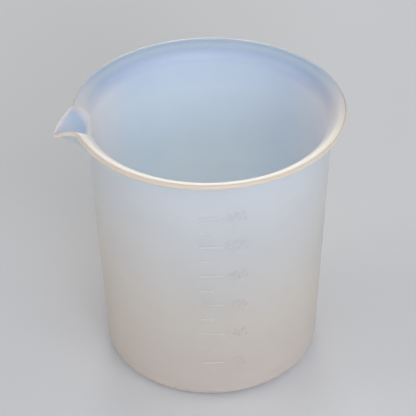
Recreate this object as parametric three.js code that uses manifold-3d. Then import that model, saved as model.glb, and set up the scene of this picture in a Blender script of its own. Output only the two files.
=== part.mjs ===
// Low form laboratory beaker of about 600 ml, moulded in one piece from milky translucent plastic.
// Millimetres, +Z up. The origin is the centre of the base, on the surface that the beaker stands on.
// The pouring spout points along -X. The graduations face -Y, a quarter turn away from the spout.
import * as THREE from 'three';
import { mergeVertices } from 'three/addons/utils/BufferGeometryUtils.js';
import Module from 'manifold-3d';

// Wall and floor. The wall is a cone: its two radii are those of its outer face, carried straight on
// down to the base plane and straight on up to the top of the rim.
const HEIGHT = 116.2;
const WALL_RADIUS_AT_BASE = 45.4;
const WALL_RADIUS_AT_TOP = 49.8;
const WALL_THICKNESS = 1.9;
const FLOOR_THICKNESS = 3.6;
const OUTER_CORNER_RADIUS = 5.4;
const INNER_CORNER_RADIUS = 5.0;

// Rim. The wall flares out in a quarter of an ellipse and ends in a nearly level lip.
const RIM_RADIUS = 55.3;
const RIM_FLARE_HEIGHT = 5.4;
const FLARE_END_ANGLE = THREE.MathUtils.degToRad(88);
const LIP_EDGE_RADIUS = 0.7;

// Pouring spout, drawn out of the rim. In plan its sides run straight from their roots to the tip. Its
// channel reaches its full depth in the first part of the way out, so that it has steep sides.
const SPOUT_REACH = 7.8;
const SPOUT_HALF_WIDTH = 8.9;
const SPOUT_TIP_DROP = 5.7;
const SPOUT_FLARE_HEIGHT = 21.5;
const SPOUT_TIP_ROUNDING = 1.5;
const SPOUT_ROOT_BLEND = 0.06;
const SPOUT_DROP_POWER = 1.65;
const SPOUT_DEPTH_SHARE = 0.3;

// Graduations, raised on the outside of the wall. Their heights follow from the volume inside.
const FIRST_MARK_ML = 100;
const LAST_MARK_ML = 600;
const MARK_STEP_ML = 50;
const LONG_MARK_STEP_ML = 100;
const LONG_MARK_LENGTH = 9.0;
const SHORT_MARK_LENGTH = 5.0;
const MARK_HEIGHT = 0.8;
const MARK_RELIEF = 0.35;
const MARK_ROOT_DEPTH = 1.0;
const MARK_START_AZIMUTH = THREE.MathUtils.degToRad(256);

// Fineness of the mesh
const CORNER_STEPS = 5;
const FLARE_STEPS = 9;
const LIP_EDGE_STEPS = 3;
const MARK_STEPS = 4;
const SPOUT_STEPS = 16;
const SPOUT_STEP_CROWDING = 1.2;
const SPOUT_MESH_MARGIN = 1.3;
const ROUND_STEPS = 62;
const LEVEL_ROUNDS = 8;
const CUBIC_MM_PER_ML = 1000;

const TAPER = (WALL_RADIUS_AT_TOP - WALL_RADIUS_AT_BASE) / HEIGHT;
const SPOUT_HALF_ANGLE = Math.asin(SPOUT_HALF_WIDTH / RIM_RADIUS);
const SPOUT_TIP_ROUNDING_ANGLE = SPOUT_TIP_ROUNDING / RIM_RADIUS;
const SPOUT_MESH_HALF_ANGLE = SPOUT_MESH_MARGIN * SPOUT_HALF_ANGLE;

// Outer radius of the straight wall at a height.
function wallRadius(z) {
  return WALL_RADIUS_AT_BASE + TAPER * z;
}

// How far the spout stands out at an angle from its own axis: 1 at the tip, 0 past its roots.
function spoutShare(angleFromSpout) {
  const near = Math.min(angleFromSpout, 2 * SPOUT_HALF_ANGLE);
  const angle = Math.hypot(near, SPOUT_TIP_ROUNDING_ANGLE) - SPOUT_TIP_ROUNDING_ANGLE;
  const tip = RIM_RADIUS + SPOUT_REACH;
  const across = RIM_RADIUS * Math.sin(SPOUT_HALF_ANGLE);
  const along = tip - RIM_RADIUS * Math.cos(SPOUT_HALF_ANGLE);
  const radius = tip * across / (across * Math.cos(angle) + along * Math.sin(angle));
  const share = (radius - RIM_RADIUS) / SPOUT_REACH;
  if (share > SPOUT_ROOT_BLEND) {
    return share;
  }
  return Math.max(share + SPOUT_ROOT_BLEND, 0) ** 2 / (4 * SPOUT_ROOT_BLEND);
}

// A fillet of the wall's foot: a round that touches a level floor and the tapered wall.
function footCurve(wallRadiusAtPlane, plane, radius) {
  const z = plane + radius;
  const x = wallRadiusAtPlane + TAPER * radius - radius * Math.hypot(1, TAPER);
  return new THREE.EllipseCurve(x, z, radius, radius, -Math.PI / 2, -Math.atan(TAPER), false);
}

// The half section of the beaker, cut at an angle from the spout. It runs from the centre of the base
// out and up the outside, over the lip, and down the inside to the centre of the floor.
function section(angleFromSpout) {
  const share = spoutShare(angleFromSpout);
  const lipRadius = RIM_RADIUS + SPOUT_REACH * share;
  const lipTop = HEIGHT - SPOUT_TIP_DROP * share ** SPOUT_DROP_POWER;
  const depthShare = Math.sin(Math.PI / 2 * Math.min(share / SPOUT_DEPTH_SHARE, 1));
  const flareHeight = THREE.MathUtils.lerp(RIM_FLARE_HEIGHT, SPOUT_FLARE_HEIGHT, depthShare);
  const flareStart = lipTop - WALL_THICKNESS - flareHeight * Math.sin(FLARE_END_ANGLE);
  const flareRoot = wallRadius(flareStart);
  const flareWidth = (lipRadius - flareRoot) / (1 - Math.cos(FLARE_END_ANGLE));

  const outside = new THREE.EllipseCurve(flareRoot + flareWidth, flareStart, flareWidth, flareHeight,
    Math.PI, Math.PI - FLARE_END_ANGLE, true).getPoints(FLARE_STEPS);
  const normals = outside.map((point, step) => {
    const turn = FLARE_END_ANGLE * step / FLARE_STEPS;
    return new THREE.Vector2(-flareHeight * Math.cos(turn), flareWidth * Math.sin(turn)).normalize();
  });
  const inside = outside.map((point, step) => point.clone().addScaledVector(normals[step], WALL_THICKNESS));

  // The end face of the lip is square to the flare, with both its edges rounded.
  const across = normals[FLARE_STEPS];
  const along = new THREE.Vector2(across.y, -across.x);
  const setBack = along.clone().multiplyScalar(-LIP_EDGE_RADIUS);
  const underCentre = outside.pop().add(setBack).addScaledVector(across, LIP_EDGE_RADIUS);
  const upperCentre = inside.pop().add(setBack).addScaledVector(across, -LIP_EDGE_RADIUS);
  const level = along.angle();
  const underEdge = new THREE.EllipseCurve(underCentre.x, underCentre.y, LIP_EDGE_RADIUS, LIP_EDGE_RADIUS,
    level - Math.PI / 2, level, false).getPoints(LIP_EDGE_STEPS);
  const upperEdge = new THREE.EllipseCurve(upperCentre.x, upperCentre.y, LIP_EDGE_RADIUS, LIP_EDGE_RADIUS,
    level, level + Math.PI / 2, false).getPoints(LIP_EDGE_STEPS);

  const outerFoot = footCurve(WALL_RADIUS_AT_BASE, 0, OUTER_CORNER_RADIUS).getPoints(CORNER_STEPS);
  const innerFoot = footCurve(wallRadius(FLOOR_THICKNESS) - WALL_THICKNESS, FLOOR_THICKNESS,
    INNER_CORNER_RADIUS).getPoints(CORNER_STEPS);
  return [
    new THREE.Vector2(0, 0),
    ...outerFoot,
    ...outside,
    ...underEdge,
    ...upperEdge,
    ...inside.reverse(),
    ...innerFoot.reverse(),
    new THREE.Vector2(0, FLOOR_THICKNESS),
  ];
}

// Angles from the spout's axis, all the way round: close together at the spout's tip, wider at its
// sides, and even round the rest of the rim.
function sectionAngles() {
  const side = [];
  for (let step = 0; step <= SPOUT_STEPS; step += 1) {
    side.push(SPOUT_MESH_HALF_ANGLE * (step / SPOUT_STEPS) ** SPOUT_STEP_CROWDING);
  }
  const rest = 2 * (Math.PI - SPOUT_MESH_HALF_ANGLE);
  const angles = [...side];
  for (let step = 1; step < ROUND_STEPS; step += 1) {
    angles.push(SPOUT_MESH_HALF_ANGLE + rest * step / ROUND_STEPS);
  }
  return [...angles, ...side.reverse().map((angle) => 2 * Math.PI - angle)];
}

// The vessel: a lathe of the half section, whose rings are then given the section at their own angle.
function vesselGeometry() {
  const angles = sectionAngles();
  const outline = section(Math.PI);
  const geometry = new THREE.LatheGeometry(outline, angles.length - 1);
  const position = geometry.getAttribute('position');
  angles.forEach((angle, ring) => {
    const angleFromSpout = Math.min(angle, 2 * Math.PI - angle);
    section(angleFromSpout).forEach((point, step) => {
      const x = -point.x * Math.cos(angle);
      const y = -point.x * Math.sin(angle);
      position.setXYZ(ring * outline.length + step, x, y, point.y);
    });
  });
  return geometry;
}

// The height that a volume fills, from the floor's inside face: a cone, less the fillet at its foot.
// The depth is found in a few of Newton's steps, each one the missing volume over the liquid's surface.
function levelOf(millilitres) {
  const floorRadius = wallRadius(FLOOR_THICKNESS) - WALL_THICKNESS;
  const filletArea = (1 - Math.PI / 4) * INNER_CORNER_RADIUS ** 2;
  const filletMiddle = INNER_CORNER_RADIUS * (10 - 3 * Math.PI) / (12 - 3 * Math.PI);
  const filletVolume = 2 * Math.PI * (floorRadius - filletMiddle) * filletArea;
  const volume = CUBIC_MM_PER_ML * millilitres + filletVolume;
  let depth = 0;
  for (let round = 0; round < LEVEL_ROUNDS; round += 1) {
    const widening = TAPER * depth;
    const filled = Math.PI * depth * (floorRadius ** 2 + floorRadius * widening + widening ** 2 / 3);
    const surface = Math.PI * (floorRadius + TAPER * depth) ** 2;
    depth += (volume - filled) / surface;
  }
  return FLOOR_THICKNESS + depth;
}

// One graduation: a short raised line, curved with the wall and rooted in it.
function markGeometry(millilitres) {
  const level = levelOf(millilitres);
  const radius = wallRadius(level);
  const length = millilitres % LONG_MARK_STEP_ML === 0 ? LONG_MARK_LENGTH : SHORT_MARK_LENGTH;
  const end = MARK_START_AZIMUTH + length / radius;
  const outline = new THREE.Shape();
  outline.absarc(0, 0, radius + MARK_RELIEF, MARK_START_AZIMUTH, end, false);
  outline.absarc(0, 0, radius - MARK_ROOT_DEPTH, end, MARK_START_AZIMUTH, true);
  outline.closePath();
  const geometry = new THREE.ExtrudeGeometry(outline, {
    depth: MARK_HEIGHT,
    bevelEnabled: false,
    curveSegments: MARK_STEPS,
  });
  return geometry.translate(0, 0, level - MARK_HEIGHT / 2);
}

const wasm = await Module();
wasm.setup();

// A closed geometry as a solid: shared corners are merged, and the slivers at the axis are left out.
function solidOf(geometry) {
  const bare = geometry.clone();
  bare.deleteAttribute('normal');
  bare.deleteAttribute('uv');
  const merged = mergeVertices(bare);
  const index = merged.index.array;
  const triangles = [];
  for (let i = 0; i < index.length; i += 3) {
    const [a, b, c] = [index[i], index[i + 1], index[i + 2]];
    if (a !== b && b !== c && c !== a) {
      triangles.push(a, b, c);
    }
  }
  return new wasm.Manifold(new wasm.Mesh({
    numProp: 3,
    vertProperties: new Float32Array(merged.getAttribute('position').array),
    triVerts: new Uint32Array(triangles),
  }));
}

// A solid as a geometry again.
function geometryOf(solid) {
  const mesh = solid.getMesh();
  const geometry = new THREE.BufferGeometry();
  geometry.setAttribute('position', new THREE.BufferAttribute(mesh.vertProperties, mesh.numProp));
  geometry.setIndex(new THREE.BufferAttribute(mesh.triVerts, 1));
  geometry.computeVertexNormals();
  return geometry;
}

function beakerBody() {
  let solid = solidOf(vesselGeometry());
  for (let volume = FIRST_MARK_ML; volume <= LAST_MARK_ML; volume += MARK_STEP_ML) {
    solid = solid.add(solidOf(markGeometry(volume)));
  }
  const plastic = new THREE.MeshStandardMaterial({ color: 0xc6cbd3, roughness: 0.42, metalness: 0 });
  plastic.name = 'milky_plastic';
  const mesh = new THREE.Mesh(geometryOf(solid), plastic);
  mesh.name = 'beaker_body';
  return mesh;
}

const beaker = new THREE.Group();
beaker.name = 'laboratory_beaker';
beaker.add(beakerBody());

export default beaker;
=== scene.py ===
import math

import bpy
from mathutils import Matrix, Vector


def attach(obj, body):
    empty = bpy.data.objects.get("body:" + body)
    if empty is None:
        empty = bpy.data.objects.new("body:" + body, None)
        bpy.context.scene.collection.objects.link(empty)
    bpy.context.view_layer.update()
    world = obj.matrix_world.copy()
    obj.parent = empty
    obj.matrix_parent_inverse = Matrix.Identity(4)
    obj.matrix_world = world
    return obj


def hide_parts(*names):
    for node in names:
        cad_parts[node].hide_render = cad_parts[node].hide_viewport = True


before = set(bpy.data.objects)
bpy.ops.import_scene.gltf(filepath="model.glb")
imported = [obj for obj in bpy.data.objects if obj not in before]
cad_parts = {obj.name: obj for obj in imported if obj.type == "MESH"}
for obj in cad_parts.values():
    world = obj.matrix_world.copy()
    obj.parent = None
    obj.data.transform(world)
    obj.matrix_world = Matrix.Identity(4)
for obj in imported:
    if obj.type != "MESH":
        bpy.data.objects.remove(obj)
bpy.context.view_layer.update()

scene = bpy.context.scene
MM = 0.001


# The beaker body is one moulding of milky translucent plastic: a flat floor, a tapered wall, a flared
# rim with a squared lip, and a spout drawn out of the rim. Its half section is drawn and spun round
# the axis, and the rim is then pulled out into the spout.
HEIGHT = 116.2 * MM
WALL_RADIUS_AT_BASE = 45.4 * MM
WALL_RADIUS_AT_TOP = 49.8 * MM
WALL_THICKNESS = 1.9 * MM
FLOOR_THICKNESS = 3.6 * MM
OUTER_CORNER_RADIUS = 5.4 * MM
INNER_CORNER_RADIUS = 5.0 * MM
RIM_RADIUS = 55.3 * MM
RIM_FLARE_HEIGHT = 5.4 * MM
FLARE_END_ANGLE = math.radians(88)
LIP_EDGE_RADIUS = 0.7 * MM
SPOUT_REACH = 7.8 * MM
SPOUT_HALF_WIDTH = 8.9 * MM
SPOUT_TIP_DROP = 5.7 * MM
SPOUT_FLARE_HEIGHT = 21.5 * MM
SPOUT_TIP_ROUNDING = 1.5 * MM
SPOUT_ROOT_BLEND = 0.06
SPOUT_DROP_POWER = 1.65
SPOUT_DEPTH_SHARE = 0.3

SPIN_STEPS = 360
CORNER_STEPS = 10
WALL_STEPS = 40
FLARE_STEPS = 20
LIP_EDGE_STEPS = 6
SPOUT_CROWDING_ANGLE = math.radians(34)
SPOUT_CROWDING = 1.5
MERGE_DISTANCE = 0.001 * MM

TAPER = (WALL_RADIUS_AT_TOP - WALL_RADIUS_AT_BASE) / HEIGHT
SPOUT_HALF_ANGLE = math.asin(SPOUT_HALF_WIDTH / RIM_RADIUS)
SPOUT_ROUNDING_ANGLE = SPOUT_TIP_ROUNDING / RIM_RADIUS


def wall_radius(z):
    """Outer radius of the straight wall at a height."""
    return WALL_RADIUS_AT_BASE + TAPER * z


def spout_share(angle_from_spout):
    """How far the spout stands out at an angle from its axis: 1 at the tip, 0 past its roots."""
    near = min(abs(angle_from_spout), 2 * SPOUT_HALF_ANGLE)
    angle = math.hypot(near, SPOUT_ROUNDING_ANGLE) - SPOUT_ROUNDING_ANGLE
    tip = RIM_RADIUS + SPOUT_REACH
    across = RIM_RADIUS * math.sin(SPOUT_HALF_ANGLE)
    along = tip - RIM_RADIUS * math.cos(SPOUT_HALF_ANGLE)
    radius = tip * across / (across * math.cos(angle) + along * math.sin(angle))
    share = (radius - RIM_RADIUS) / SPOUT_REACH
    if share > SPOUT_ROOT_BLEND:
        return share
    return max(share + SPOUT_ROOT_BLEND, 0) ** 2 / (4 * SPOUT_ROOT_BLEND)


def depth_share(share):
    """How much of the spout's full depth the channel has, by how far it stands out there."""
    return math.sin(math.pi / 2 * min(share / SPOUT_DEPTH_SHARE, 1))


def arc(centre, radii, start, end, steps):
    """Points of an elliptical arc, as (radius, height), from one angle to another."""
    turns = [start + (end - start) * step / steps for step in range(steps + 1)]
    return [(centre[0] + radii[0] * math.cos(t), centre[1] + radii[1] * math.sin(t)) for t in turns]


def foot_arc(radius_at_plane, plane, radius):
    """The round between a level face and the tapered wall, from the face to the wall."""
    centre = (radius_at_plane + TAPER * radius - radius * math.hypot(1, TAPER), plane + radius)
    return arc(centre, (radius, radius), -math.pi / 2, -math.atan(TAPER), CORNER_STEPS)


def between(low, high, steps):
    """The points that divide a straight stretch, without its two ends."""
    return [tuple(a + (b - a) * step / steps for a, b in zip(low, high)) for step in range(1, steps)]


def half_section(angle_from_spout):
    """The outline from the base's centre up the outside, over the lip and down to the floor's centre."""
    share = spout_share(angle_from_spout)
    lip_radius = RIM_RADIUS + SPOUT_REACH * share
    lip_top = HEIGHT - SPOUT_TIP_DROP * share**SPOUT_DROP_POWER
    flare_height = RIM_FLARE_HEIGHT + (SPOUT_FLARE_HEIGHT - RIM_FLARE_HEIGHT) * depth_share(share)
    start = lip_top - WALL_THICKNESS - flare_height * math.sin(FLARE_END_ANGLE)
    width = (lip_radius - wall_radius(start)) / (1 - math.cos(FLARE_END_ANGLE))
    under = arc((wall_radius(start) + width, start), (width, flare_height), math.pi,
                math.pi - FLARE_END_ANGLE, FLARE_STEPS)
    upper = []
    for step, point in enumerate(under):
        turn = FLARE_END_ANGLE * step / FLARE_STEPS
        normal = Vector((-flare_height * math.cos(turn), width * math.sin(turn))).normalized()
        upper.append(tuple(Vector(point) + WALL_THICKNESS * normal))
    along = Vector((normal.y, -normal.x))
    level = math.atan2(along.y, along.x)
    edge = (LIP_EDGE_RADIUS, LIP_EDGE_RADIUS)
    under_centre = Vector(under.pop()) - LIP_EDGE_RADIUS * along + LIP_EDGE_RADIUS * normal
    upper_centre = Vector(upper.pop()) - LIP_EDGE_RADIUS * along - LIP_EDGE_RADIUS * normal
    under_edge = arc(under_centre, edge, level - math.pi / 2, level, LIP_EDGE_STEPS)
    upper_edge = arc(upper_centre, edge, level, level + math.pi / 2, LIP_EDGE_STEPS)
    outer_foot = foot_arc(WALL_RADIUS_AT_BASE, 0, OUTER_CORNER_RADIUS)
    inner_foot = foot_arc(wall_radius(FLOOR_THICKNESS) - WALL_THICKNESS, FLOOR_THICKNESS,
                          INNER_CORNER_RADIUS)
    outer_wall = between(outer_foot[-1], under[0], WALL_STEPS)
    inner_wall = between(upper[0], inner_foot[-1], WALL_STEPS)
    return [(0, 0), *outer_foot, *outer_wall, *under, *under_edge, *upper_edge, *reversed(upper),
            *inner_wall, *reversed(inner_foot), (0, FLOOR_THICKNESS)]


def crowded(angle):
    """Moves the spun sections closer together towards the spout's tip."""
    if abs(angle) >= SPOUT_CROWDING_ANGLE:
        return angle
    share = abs(angle) / SPOUT_CROWDING_ANGLE
    return math.copysign(SPOUT_CROWDING_ANGLE * share**SPOUT_CROWDING, angle)


def spun_body():
    """The plain round vessel, spun from its half section by hand, as one closed skin."""
    outline = half_section(math.pi)
    bpy.ops.object.select_all(action="DESELECT")
    bpy.ops.mesh.primitive_plane_add(size=MM, location=(0, 0, 0))
    body = bpy.context.object
    body.name = "beaker"
    bpy.ops.object.mode_set(mode="EDIT")
    bpy.ops.mesh.select_all(action="SELECT")
    bpy.ops.mesh.merge(type="CENTER")
    for (r0, z0), (r1, z1) in zip(outline, outline[1:]):
        bpy.ops.mesh.extrude_vertices_move(TRANSFORM_OT_translate={"value": (r1 - r0, 0, z1 - z0)})
    bpy.ops.object.mode_set(mode="OBJECT")
    ring = body.data.attributes.new("ring", "INT", "POINT")
    for vertex in body.data.vertices:
        near = min(range(len(outline)), key=lambda i: math.dist(outline[i], (vertex.co.x, vertex.co.z)))
        ring.data[vertex.index].value = near
    bpy.ops.object.mode_set(mode="EDIT")
    bpy.ops.mesh.select_all(action="SELECT")
    bpy.ops.mesh.spin(steps=SPIN_STEPS, angle=2 * math.pi, center=(0, 0, 0), axis=(0, 0, 1))
    bpy.ops.mesh.select_all(action="SELECT")
    bpy.ops.mesh.remove_doubles(threshold=MERGE_DISTANCE)
    bpy.ops.mesh.normals_make_consistent(inside=False)
    bpy.ops.object.mode_set(mode="OBJECT")
    return body


def draw_spout(body):
    """Pulls the rim out into the spout: every section takes the outline at its own angle."""
    rings = [item.value for item in body.data.attributes["ring"].data]
    sections = {}
    for vertex in body.data.vertices:
        radius = math.hypot(vertex.co.x, vertex.co.y)
        if radius < MERGE_DISTANCE:
            continue
        angle = crowded(math.atan2(-vertex.co.y, -vertex.co.x))
        key = round(angle, 6)
        if key not in sections:
            sections[key] = half_section(angle)
        new_radius, height = sections[key][rings[vertex.index]]
        vertex.co = (-new_radius * math.cos(angle), -new_radius * math.sin(angle), height)


def select_only(piece):
    """Deselects everything and makes one piece the selected and active one."""
    bpy.ops.object.select_all(action="DESELECT")
    piece.select_set(True)
    bpy.context.view_layer.objects.active = piece


LIP_RING = 1 + (CORNER_STEPS + 1) + (WALL_STEPS - 1) + FLARE_STEPS + (LIP_EDGE_STEPS + 1)
# The painted cream glow on the lip's end face: its shift, and its widths on the far and near sides.
EDGE_TONE_SHIFT = 0.15 * MM
FAR_EDGE_WIDTH = 0.8 * MM
NEAR_EDGE_WIDTH = 1.35 * MM
# The near side, painted light inside, and the far side, painted shade inside, part about this turn,
# across these angles, shifted round near the lip.
FAR_SIDE_TURN = math.radians(8.5)
NEAR_SIDE_ANGLES = (math.radians(35), math.radians(100))
NEAR_SIDE_SHIFT = math.radians(18)
NEAR_SIDE_SHIFT_END = (8 * MM, 14 * MM)
# Where the channel's painted shade fades out, down the inside.
CHANNEL_TONE_END = (6.5 * MM, 8.5 * MM)


def rise(value, low, high):
    """A share that rises softly from 0 to 1 as a value goes from low to high."""
    share = min(max((value - low) / (high - low), 0), 1)
    return share * share * (3 - 2 * share)


def tone_body(body):
    """Gives each vertex the shares by which the plastic's tones, and the light and shade painted into
    them, are laid on: its way down the inside face from the lip, how near it is to the lip's end face
    for the painted glow, and its shares of the near side for painted light and of the channel for
    painted shade."""
    outline = half_section(math.pi)
    walked = [0.0]
    for low, high in zip(outline, outline[1:]):
        walked.append(walked[-1] + math.dist(low, high))
    lip = (walked[LIP_RING - 1] + walked[LIP_RING]) / 2
    inward = [distance - lip for distance in walked]
    rings = [item.value for item in body.data.attributes["ring"].data]
    tones = {"down_inside": [], "lip_edge_glow": [], "near_side_light": [], "channel": []}
    for ring, vertex in zip(rings, body.data.vertices):
        down = inward[ring]
        depth = depth_share(spout_share(math.atan2(-vertex.co.y, -vertex.co.x)))
        # The near side's share: where the inside is painted light rather than painted shade.
        shift = NEAR_SIDE_SHIFT * (1 - rise(down, *NEAR_SIDE_SHIFT_END)) * (1 - depth)
        turn = math.atan2(vertex.co.x, vertex.co.y) - FAR_SIDE_TURN
        from_far_side = math.acos(math.cos(turn))
        near = rise(from_far_side - shift, *NEAR_SIDE_ANGLES)
        width = FAR_EDGE_WIDTH + (NEAR_EDGE_WIDTH - FAR_EDGE_WIDTH) * near
        tones["down_inside"].append(max(down, 0))
        # The lip's end face takes a painted cream glow, wider on the near side.
        tones["lip_edge_glow"].append(math.exp(-((down + EDGE_TONE_SHIFT) / width) ** 2))
        tones["near_side_light"].append(near)
        # The spout's channel takes painted shade, fading out below the flare.
        tones["channel"].append(depth * (1 - rise(down, *CHANNEL_TONE_END)))
    for name, values in tones.items():
        tone = body.data.attributes.new(name, "FLOAT", "POINT")
        tone.data.foreach_set("value", values)


beaker = spun_body()
draw_spout(beaker)
tone_body(beaker)

# The raised graduation lines are moulded in one with the wall: one every fifty millilitres, a longer
# one at each hundred. Each is a low bar with soft edges that follows the wall, at the height where
# the cup holds that volume.
FIRST_LINE_ML = 100
LAST_LINE_ML = 600
LINE_STEP_ML = 50
LONG_LINE_STEP_ML = 100
LONG_LINE_LENGTH = 9.0 * MM
SHORT_LINE_LENGTH = 5.0 * MM
LINE_HEIGHT = 0.8 * MM
LINE_RELIEF = 0.35 * MM
RELIEF_ROOT = 0.6 * MM
LINE_SOFTNESS = 0.22 * MM
LINE_SOFTNESS_STEPS = 3
LINE_CUTS = 7
LEVEL_WITH = 0.01 * MM
SCALE_START_AZIMUTH = math.radians(256)
CUBIC_METRES_PER_ML = 1e-6
LEVEL_ROUNDS = 12


def level_of(millilitres):
    """The height in the cup at which it holds a volume. The round at the floor takes some room: its
    section is a square corner less a quarter circle."""
    floor_radius = wall_radius(FLOOR_THICKNESS) - WALL_THICKNESS
    fillet_area = (1 - math.pi / 4) * INNER_CORNER_RADIUS**2
    fillet_middle = INNER_CORNER_RADIUS * (10 - 3 * math.pi) / (12 - 3 * math.pi)
    fillet_volume = 2 * math.pi * (floor_radius - fillet_middle) * fillet_area
    volume = CUBIC_METRES_PER_ML * millilitres + fillet_volume
    depth = 0
    for _ in range(LEVEL_ROUNDS):
        widening = TAPER * depth
        filled = math.pi * depth * (floor_radius**2 + floor_radius * widening + widening**2 / 3)
        depth += (volume - filled) / (math.pi * (floor_radius + widening) ** 2)
    return FLOOR_THICKNESS + depth


def wrap_on_wall(piece, level):
    """Bends a flat drawing round the wall: x runs along the wall, -y out of it and z up it."""
    for vertex in piece.data.vertices:
        height = level + vertex.co.z
        radius = wall_radius(height) - vertex.co.y
        azimuth = SCALE_START_AZIMUTH + vertex.co.x / wall_radius(level)
        vertex.co = (radius * math.cos(azimuth), radius * math.sin(azimuth), height)


def select_edges(piece, wanted):
    """Leaves just the wanted edges of a piece selected, in edit mode."""
    bpy.context.tool_settings.mesh_select_mode = (False, True, False)
    bpy.ops.object.mode_set(mode="EDIT")
    bpy.ops.mesh.select_all(action="DESELECT")
    bpy.ops.object.mode_set(mode="OBJECT")
    for edge in piece.data.edges:
        edge.select = wanted([piece.data.vertices[index].co for index in edge.vertices])
    bpy.ops.object.mode_set(mode="EDIT")


def graduation_line(millilitres):
    """One raised line: a bar cut into short lengths, its outer edges softened, bent on to the wall."""
    length = SHORT_LINE_LENGTH if millilitres % LONG_LINE_STEP_ML else LONG_LINE_LENGTH
    front = -LINE_RELIEF
    bpy.ops.object.select_all(action="DESELECT")
    bpy.ops.mesh.primitive_cube_add(size=1, location=(length / 2, (front + RELIEF_ROOT) / 2, 0),
                                    scale=(length, RELIEF_ROOT - front, LINE_HEIGHT))
    line = bpy.context.object
    bpy.ops.object.transform_apply(location=True, rotation=False, scale=True)
    select_edges(line, lambda ends: abs(ends[0].x - ends[1].x) > length / 2)
    bpy.ops.mesh.subdivide(number_cuts=LINE_CUTS)
    bpy.ops.object.mode_set(mode="OBJECT")
    select_edges(line, lambda ends: all(abs(end.y - front) < LEVEL_WITH for end in ends) and (
        all(LINE_HEIGHT / 2 - abs(end.z) < LEVEL_WITH for end in ends)
        or all(length / 2 - abs(end.x - length / 2) < LEVEL_WITH for end in ends)))
    bpy.ops.mesh.bevel(offset=LINE_SOFTNESS, segments=LINE_SOFTNESS_STEPS)
    bpy.ops.object.mode_set(mode="OBJECT")
    wrap_on_wall(line, level_of(millilitres))
    return line


relief = [graduation_line(ml) for ml in range(FIRST_LINE_ML, LAST_LINE_ML + 1, LINE_STEP_ML)]

# The numerals beside the long lines are raised in the same moulding, and lower than the lines. Each
# is flat lettering with a little depth, bent on to the wall.
NUMERAL_HEIGHT = 4.3 * MM
NUMERAL_RELIEF = 0.28 * MM
NUMERAL_GAP = 1.6 * MM
CURVE_STEPS = 4
DRAWN_DEPTH = 0.1
DRAWN_MERGE = 0.0001
SHARP_EDGE_ANGLE = math.radians(35)


def numeral(millilitres):
    """The volume in raised figures, drawn large and flat, then brought to size on its line's height."""
    bpy.ops.object.select_all(action="DESELECT")
    bpy.ops.object.text_add(location=(0, 0, 0), rotation=(math.pi / 2, 0, 0))
    figures = bpy.context.object
    figures.data.body = str(millilitres)
    figures.data.resolution_u = CURVE_STEPS
    figures.data.extrude = DRAWN_DEPTH
    bpy.ops.object.convert(target="MESH")
    figures = bpy.context.object
    bpy.ops.object.transform_apply(location=True, rotation=True, scale=True)
    bpy.ops.object.mode_set(mode="EDIT")
    bpy.ops.mesh.select_all(action="SELECT")
    bpy.ops.mesh.remove_doubles(threshold=DRAWN_MERGE)
    bpy.ops.mesh.normals_make_consistent(inside=False)
    bpy.ops.object.mode_set(mode="OBJECT")
    corners = [vertex.co.copy() for vertex in figures.data.vertices]
    left = min(corner.x for corner in corners)
    low = min(corner.z for corner in corners)
    size = NUMERAL_HEIGHT / (max(corner.z for corner in corners) - low)
    for vertex in figures.data.vertices:
        vertex.co.x = LONG_LINE_LENGTH + NUMERAL_GAP + size * (vertex.co.x - left)
        vertex.co.y = -NUMERAL_RELIEF if vertex.co.y < 0 else RELIEF_ROOT
        vertex.co.z = size * (vertex.co.z - low) - NUMERAL_HEIGHT / 2
    wrap_on_wall(figures, level_of(millilitres))
    return figures


relief += [numeral(ml) for ml in range(FIRST_LINE_ML, LAST_LINE_ML + 1, LONG_LINE_STEP_ML)]
select_only(relief[0])
for piece in relief:
    piece.select_set(True)
bpy.ops.object.join()
raised = bpy.context.object
select_only(beaker)
union = beaker.modifiers.new("relief", "BOOLEAN")
union.operation = "UNION"
union.solver = "MANIFOLD"
union.object = raised
bpy.ops.object.modifier_apply(modifier="relief")
bpy.data.objects.remove(raised)
bpy.ops.object.shade_smooth_by_angle(angle=SHARP_EDGE_ANGLE)

# The plastic is natural polypropylene: milky, lit through, satin from the mould. Its colour carries
# painted light and shade. Outside it is darker at the foot, warmer over the lower half, and darker and
# bluer towards the rim. Inside, the far side is painted shade with painted blue light, darkest in a
# painted shade band at the crease below the flare; the near side is painted light, creamy towards the
# lip; the spout's channel is painted shade; and the lip's end face is a painted cream glow. Each tone
# below stands at a height, or at a way down the inside from the lip, in millimetres.
OUTSIDE_TONES = ((0, (0.46, 0.41, 0.38)), (10, (0.60, 0.48, 0.40)), (40, (0.64, 0.53, 0.43)),
                 (81, (0.60, 0.57, 0.53)), (99, (0.52, 0.54, 0.56)), (116, (0.38, 0.45, 0.51)))
# Painted shade with painted blue light on the far side of the inside, darkest in a painted shade band at
# the crease below the flare; the last tone is the pale floor.
FAR_SIDE_PAINTED_SHADE = ((1.5, (0.27, 0.40, 0.63)), (4.5, (0.36, 0.47, 0.66)), (7, (0.25, 0.36, 0.57)),
             (9.5, (0.28, 0.38, 0.61)), (13.5, (0.34, 0.47, 0.73)), (25, (0.40, 0.55, 0.84)),
             (60, (0.44, 0.65, 0.98)), (100, (0.50, 0.66, 0.90)), (111, (0.90, 0.91, 0.93)))
# Painted light on the near side of the inside: a creamy painted highlight near the lip, paler below.
NEAR_SIDE_PAINTED_LIGHT = ((1.5, (0.90, 0.70, 0.55)), (5, (0.86, 0.74, 0.64)), (9, (0.78, 0.72, 0.69)),
              (14, (0.79, 0.77, 0.81)), (25, (0.76, 0.78, 0.88)), (60, (0.74, 0.80, 0.98)),
              (100, (0.74, 0.79, 0.92)), (111, (0.90, 0.91, 0.93)))
# Painted shade in the spout's channel.
CHANNEL_PAINTED_SHADE = (0.24, 0.36, 0.59)
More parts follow.
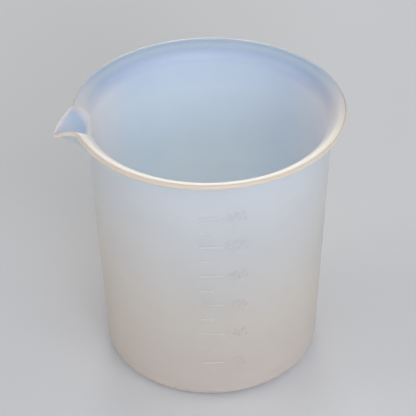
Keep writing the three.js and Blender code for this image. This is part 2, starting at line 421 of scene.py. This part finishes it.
# A painted cream glow along the lip's end face.
LIP_EDGE_PAINTED_GLOW = (0.80, 0.54, 0.38)
SCATTER_DEPTH = 15 * MM
FLOOR_SCATTER_DEPTH = 0.5 * MM
FLOOR_START = (104 * MM, 112 * MM)
SCATTER_SHARES = (1.0, 0.95, 0.9)
GLOSS_LEVEL = 0.4
ROUGHNESS_RANGE = (0.38, 0.48)
CLOUD_RANGE = (0.97, 1.03)
CLOUD_SCALE = 45
STREAK_SCALE = 70
STREAK_STRETCH = (1, 1, 0.25)
GRAIN_SCALE = 900
GRAIN_DEPTH = 0.05 * MM
GRAIN_STRENGTH = 0.25

plastic = bpy.data.materials.new("milky_plastic")
plastic.use_nodes = True
nodes = plastic.node_tree.nodes
links = plastic.node_tree.links
shader = nodes["Principled BSDF"]
shader.inputs["Specular IOR Level"].default_value = GLOSS_LEVEL
shader.inputs["Subsurface Weight"].default_value = 1.0
shader.inputs["Subsurface Radius"].default_value = SCATTER_SHARES
position = nodes.new("ShaderNodeTexCoord")


def opaque(colour):
    """A colour with its alpha."""
    return (*colour, 1)


def tone_share(name):
    """How much of a tone a point takes, as the mesh holds it."""
    share = nodes.new("ShaderNodeAttribute")
    share.attribute_name = name
    return share.outputs["Fac"]


def blended(under, over, share):
    """One colour laid over another by a share, over being a colour or a socket."""
    mix = nodes.new("ShaderNodeMix")
    mix.data_type = "RGBA"
    links.new(share, mix.inputs["Factor"])
    links.new(under, mix.inputs["A"])
    if isinstance(over, tuple):
        mix.inputs["B"].default_value = opaque(over)
    else:
        links.new(over, mix.inputs["B"])
    return mix.outputs["Result"]


def mottle(scale, detail, stretch=(1, 1, 1)):
    """A soft noise fixed to the beaker."""
    mapping = nodes.new("ShaderNodeMapping")
    mapping.inputs["Scale"].default_value = stretch
    links.new(position.outputs["Object"], mapping.inputs["Vector"])
    noise = nodes.new("ShaderNodeTexNoise")
    noise.inputs["Scale"].default_value = scale
    noise.inputs["Detail"].default_value = detail
    links.new(mapping.outputs["Vector"], noise.inputs["Vector"])
    return noise.outputs["Fac"]


def spread(value, low, high):
    """Turns a share of 0 to 1 into a range of its own."""
    reach = nodes.new("ShaderNodeMapRange")
    reach.inputs["To Min"].default_value = low
    reach.inputs["To Max"].default_value = high
    links.new(value, reach.inputs["Value"])
    return reach.outputs["Result"]


def rising(value, low, high):
    """A share that rises softly from 0 to 1 as a value goes from low to high."""
    reach = nodes.new("ShaderNodeMapRange")
    reach.interpolation_type = "SMOOTHSTEP"
    reach.inputs["From Min"].default_value = low
    reach.inputs["From Max"].default_value = high
    links.new(value, reach.inputs["Value"])
    return reach.outputs["Result"]


def ramp(distance, tones):
    """Colours along a distance: each tone has its place in millimetres."""
    reach = tones[-1][0]
    share = nodes.new("ShaderNodeMapRange")
    share.inputs["From Max"].default_value = reach * MM
    links.new(distance, share.inputs["Value"])
    colours = nodes.new("ShaderNodeValToRGB")
    links.new(share.outputs["Result"], colours.inputs["Fac"])
    elements = colours.color_ramp.elements
    while len(elements) < len(tones):
        elements.new(1)
    for element, (stop, colour) in zip(elements, tones):
        element.position = stop / reach
        element.color = opaque(colour)
    return colours.outputs["Color"]


axes = nodes.new("ShaderNodeSeparateXYZ")
links.new(position.outputs["Object"], axes.inputs["Vector"])
down_inside = tone_share("down_inside")
outer = ramp(axes.outputs["Z"], OUTSIDE_TONES)
# The inside: painted shade on the far side, painted light on the near side.
inner = blended(ramp(down_inside, FAR_SIDE_PAINTED_SHADE), ramp(down_inside, NEAR_SIDE_PAINTED_LIGHT), tone_share("near_side_light"))
# The spout's channel gets its painted shade.
inner = blended(inner, CHANNEL_PAINTED_SHADE, tone_share("channel"))
colour = blended(outer, inner, rising(down_inside, WALL_THICKNESS / 3, WALL_THICKNESS / 2))
# The lip's end face gets its painted glow.
colour = blended(colour, LIP_EDGE_PAINTED_GLOW, tone_share("lip_edge_glow"))
links.new(spread(rising(down_inside, *FLOOR_START), SCATTER_DEPTH, FLOOR_SCATTER_DEPTH),
          shader.inputs["Subsurface Scale"])
clouds = nodes.new("ShaderNodeHueSaturation")
links.new(colour, clouds.inputs["Color"])
links.new(spread(mottle(CLOUD_SCALE, 3), *CLOUD_RANGE), clouds.inputs["Value"])
links.new(clouds.outputs["Color"], shader.inputs["Base Color"])
streaks = mottle(STREAK_SCALE, 4, STREAK_STRETCH)
links.new(spread(streaks, *ROUGHNESS_RANGE), shader.inputs["Roughness"])
grain = nodes.new("ShaderNodeBump")
grain.inputs["Strength"].default_value = GRAIN_STRENGTH
grain.inputs["Distance"].default_value = GRAIN_DEPTH
links.new(mottle(GRAIN_SCALE, 2), grain.inputs["Height"])
links.new(grain.outputs["Normal"], shader.inputs["Normal"])

beaker.data.materials.clear()
beaker.data.materials.append(plastic)
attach(beaker, "root")
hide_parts("beaker_body")

# The camera stands above and in front of the beaker, a little to its left, at the photograph's
# viewing angle.
FRAME_PIXELS = 416
FOCAL_PIXELS = 1600
SENSOR_WIDTH = 36
CAMERA_AZIMUTH = math.radians(-8.49)
CAMERA_DISTANCE = 541.6 * MM
CAMERA_HEIGHT = 462.1 * MM
CAMERA_PITCH = 0.6316
CAMERA_YAW = -0.00152
CAMERA_ROLL = -0.01404
camera_data = bpy.data.cameras.new("camera")
camera_data.lens = FOCAL_PIXELS * SENSOR_WIDTH / FRAME_PIXELS
camera_data.sensor_width = SENSOR_WIDTH
camera = bpy.data.objects.new("camera", camera_data)
scene.collection.objects.link(camera)
turned = Matrix.Rotation(CAMERA_AZIMUTH, 4, "Z")
camera.matrix_world = (turned @ Matrix.Translation((0, -CAMERA_DISTANCE, CAMERA_HEIGHT))
                       @ Matrix.Rotation(math.pi / 2 - CAMERA_PITCH, 4, "X")
                       @ Matrix.Rotation(-CAMERA_YAW, 4, "Y") @ Matrix.Rotation(CAMERA_ROLL, 4, "Z"))
scene.camera = camera

# The bench is a plain pale painted top, wide enough to fill every view. It lies a hair below the base,
# so that the two faces do not coincide.
BENCH_WIDTH = 6.0
BENCH_COLOUR = (0.78, 0.80, 0.83)
BENCH_DROP = 0.3 * MM
BENCH_ROUGHNESS = 0.8
bpy.ops.object.select_all(action="DESELECT")
bpy.ops.mesh.primitive_plane_add(size=BENCH_WIDTH, location=(0, 0, -BENCH_DROP))
bench = bpy.context.object
bench.name = "bench"
bench_paint = bpy.data.materials.new("pale_bench")
bench_paint.use_nodes = True
bench_shader = bench_paint.node_tree.nodes["Principled BSDF"]
bench_shader.inputs["Base Color"].default_value = opaque(BENCH_COLOUR)
bench_shader.inputs["Roughness"].default_value = BENCH_ROUGHNESS
bench.data.materials.append(bench_paint)

# Soft studio light: a slightly warm softbox low behind the beaker shines through the plastic, a cool
# one in front and warm ones to the sides model it, and a pale surround fills the rest.
SURROUND_STRENGTH = 0.32
SURROUND_COLOUR = (0.94, 1, 1.10)
LAMP_TARGET = Vector((0, 0, 60 * MM))


def softbox(name, place, size, power, colour):
    """A square area lamp that looks at the beaker."""
    lamp_data = bpy.data.lights.new(name, "AREA")
    lamp_data.shape = "SQUARE"
    lamp_data.size = size
    lamp_data.energy = power
    lamp_data.color = colour
    lamp = bpy.data.objects.new(name, lamp_data)
    lamp.location = place
    lamp.rotation_euler = (LAMP_TARGET - Vector(place)).to_track_quat("-Z", "Y").to_euler()
    scene.collection.objects.link(lamp)


softbox("back_softbox", (0.2, 1.5, 0.3), 0.6, 9.0, (1.07, 1, 0.9))
softbox("front_softbox", (0.1, -1.5, 0.4), 0.8, 12.4, (0.97, 1, 1.06))
softbox("left_softbox", (-1.4, 0.1, 0.5), 0.8, 4.3, (1.12, 0.97, 0.75))
softbox("right_softbox", (1.0, 0.1, 1.0), 0.8, 1.4, (1.15, 1, 0.72))
softbox("front_right_softbox", (0.7, -1.1, 0.9), 0.8, 3.6, (1, 1, 1))

surround = bpy.data.worlds.new("pale_surround")
surround.use_nodes = True
surround_light = surround.node_tree.nodes["Background"]
surround_light.inputs["Color"].default_value = opaque(SURROUND_COLOUR)
surround_light.inputs["Strength"].default_value = SURROUND_STRENGTH
scene.world = surround
scene.view_settings.view_transform = "Standard"
